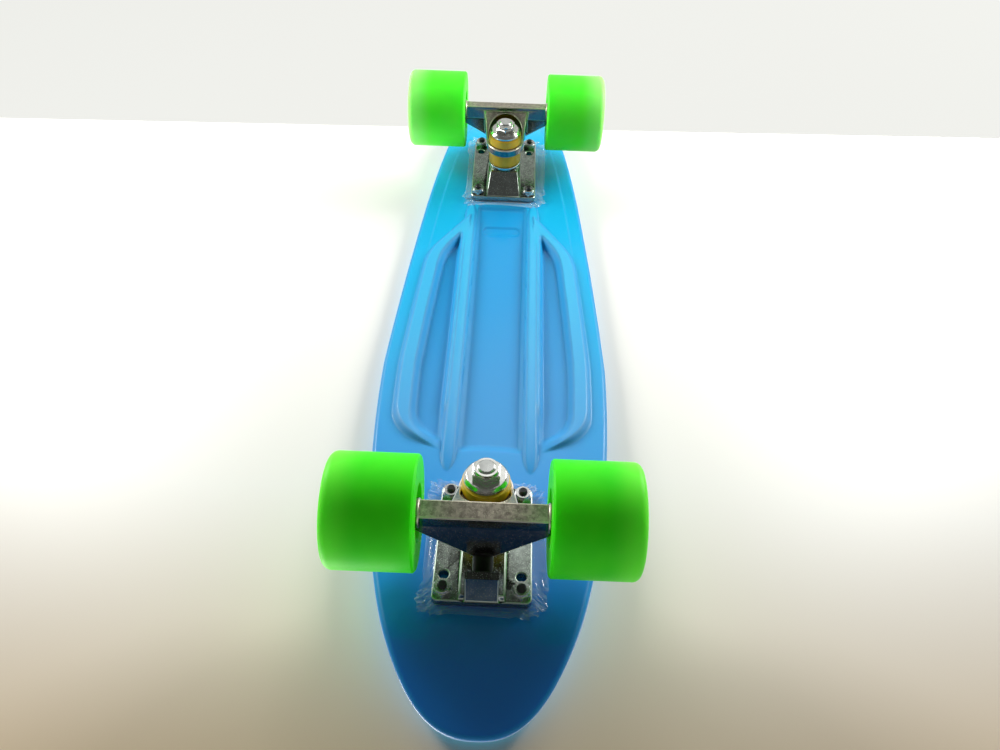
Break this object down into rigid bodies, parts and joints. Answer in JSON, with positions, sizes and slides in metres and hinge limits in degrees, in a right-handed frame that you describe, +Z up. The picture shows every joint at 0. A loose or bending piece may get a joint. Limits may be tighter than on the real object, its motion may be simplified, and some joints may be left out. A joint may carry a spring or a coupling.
{
  "type": "skateboard",
  "caption": "Short moulded-plastic cruiser skateboard with a kicked tail, ribbed underside, steering trucks and wide soft wheels.",
  "frame": {"origin": "on the ground under the middle of the deck, with the board standing on its wheels", "axes": "+X towards the nose, +Y to the left of a rider who faces the nose, +Z up"},
  "size_m": [0.5722, 0.1552, 0.098],
  "materials": {
    "deck": "glossy moulded polypropylene",
    "baseplate": "cast, slightly mottled",
    "hanger": "cast, with a brushed strip",
    "axle": "zinc plated",
    "plated": "bright plated steel",
    "bolt": "black oxide steel",
    "bushing": "mustard polyurethane",
    "cup": "black nylon",
    "film": "clear soft film",
    "wheel": "lime polyurethane, slightly translucent",
    "bearing": "polished bearing steel",
    "cage": "moulded nylon"
  },
  "bodies": {
    "board": {"deck": "deck", "rear_baseplate": "baseplate", "rear_pivot_cup": "cup", "rear_kingpin": "axle", "rear_lower_washer": "plated", "rear_lower_bushing": "bushing", "rear_upper_bushing": "bushing", "rear_upper_washer": "plated", "rear_kingpin_nut": "plated", "rear_film": "film", "rear_deck_bolts": "bolt", "rear_deck_nuts": "axle", "front_baseplate": "baseplate", "front_pivot_cup": "cup", "front_kingpin": "axle", "front_lower_washer": "plated", "front_lower_bushing": "bushing", "front_upper_bushing": "bushing", "front_upper_washer": "plated", "front_kingpin_nut": "plated", "front_film": "film", "front_deck_bolts": "bolt", "front_deck_nuts": "axle"},
    "rear_truck": {"rear_hanger": "hanger", "rear_axle": "axle", "rear_axle_nuts": "axle", "rear_speed_washers": "plated", "rear_inner_rings": "bearing", "rear_spacers": "axle"},
    "rear_left_wheel": {"rear_left_wheel": "wheel", "rear_left_outer_rings": "bearing", "rear_left_shields": "plated"},
    "rear_left_balls": {"rear_left_balls": "bearing", "rear_left_cages": "cage"},
    "rear_right_wheel": {"rear_right_wheel": "wheel", "rear_right_outer_rings": "bearing", "rear_right_shields": "plated"},
    "rear_right_balls": {"rear_right_balls": "bearing", "rear_right_cages": "cage"},
    "front_truck": {"front_hanger": "hanger", "front_axle": "axle", "front_axle_nuts": "axle", "front_speed_washers": "plated", "front_inner_rings": "bearing", "front_spacers": "axle"},
    "front_left_wheel": {"front_left_wheel": "wheel", "front_left_outer_rings": "bearing", "front_left_shields": "plated"},
    "front_left_balls": {"front_left_balls": "bearing", "front_left_cages": "cage"},
    "front_right_wheel": {"front_right_wheel": "wheel", "front_right_outer_rings": "bearing", "front_right_shields": "plated"},
    "front_right_balls": {"front_right_balls": "bearing", "front_right_cages": "cage"}
  },
  "joints": [
    {"name": "rear_steer", "type": "hinge", "parent": "board", "child": "rear_truck", "pos_m": [-0.17208, 0, 0.04438], "axis": [0.8872, 0, -0.4614], "range_deg": [-15, 15], "stiffness_Nm_per_rad": 25, "deforming": ["rear_lower_bushing", "rear_upper_bushing"]},
    {"name": "rear_left_spin", "type": "hinge", "parent": "rear_truck", "child": "rear_left_wheel", "pos_m": [-0.1971, 0.05525, 0.0295], "axis": [0, 1, 0], "continuous": true},
    {"name": "rear_left_balls_spin", "type": "hinge", "parent": "rear_truck", "child": "rear_left_balls", "pos_m": [-0.1971, 0.05525, 0.0295], "axis": [0, 1, 0], "continuous": true},
    {"name": "rear_right_spin", "type": "hinge", "parent": "rear_truck", "child": "rear_right_wheel", "pos_m": [-0.1971, -0.05525, 0.0295], "axis": [0, 1, 0], "continuous": true},
    {"name": "rear_right_balls_spin", "type": "hinge", "parent": "rear_truck", "child": "rear_right_balls", "pos_m": [-0.1971, -0.05525, 0.0295], "axis": [0, 1, 0], "continuous": true},
    {"name": "front_steer", "type": "hinge", "parent": "board", "child": "front_truck", "pos_m": [0.16848, 0, 0.04438], "axis": [-0.8872, 0, -0.4614], "range_deg": [-15, 15], "stiffness_Nm_per_rad": 25, "deforming": ["front_lower_bushing", "front_upper_bushing"]},
    {"name": "front_left_spin", "type": "hinge", "parent": "front_truck", "child": "front_left_wheel", "pos_m": [0.1935, 0.05525, 0.0295], "axis": [0, 1, 0], "continuous": true},
    {"name": "front_left_balls_spin", "type": "hinge", "parent": "front_truck", "child": "front_left_balls", "pos_m": [0.1935, 0.05525, 0.0295], "axis": [0, 1, 0], "continuous": true},
    {"name": "front_right_spin", "type": "hinge", "parent": "front_truck", "child": "front_right_wheel", "pos_m": [0.1935, -0.05525, 0.0295], "axis": [0, 1, 0], "continuous": true},
    {"name": "front_right_balls_spin", "type": "hinge", "parent": "front_truck", "child": "front_right_balls", "pos_m": [0.1935, -0.05525, 0.0295], "axis": [0, 1, 0], "continuous": true}
  ],
  "couplings": [
    {"joint": "rear_left_balls_spin", "follows": "rear_left_spin", "ratio": 0.63},
    {"joint": "rear_right_balls_spin", "follows": "rear_right_spin", "ratio": 0.63},
    {"joint": "front_left_balls_spin", "follows": "front_left_spin", "ratio": 0.63},
    {"joint": "front_right_balls_spin", "follows": "front_right_spin", "ratio": 0.63}
  ]
}
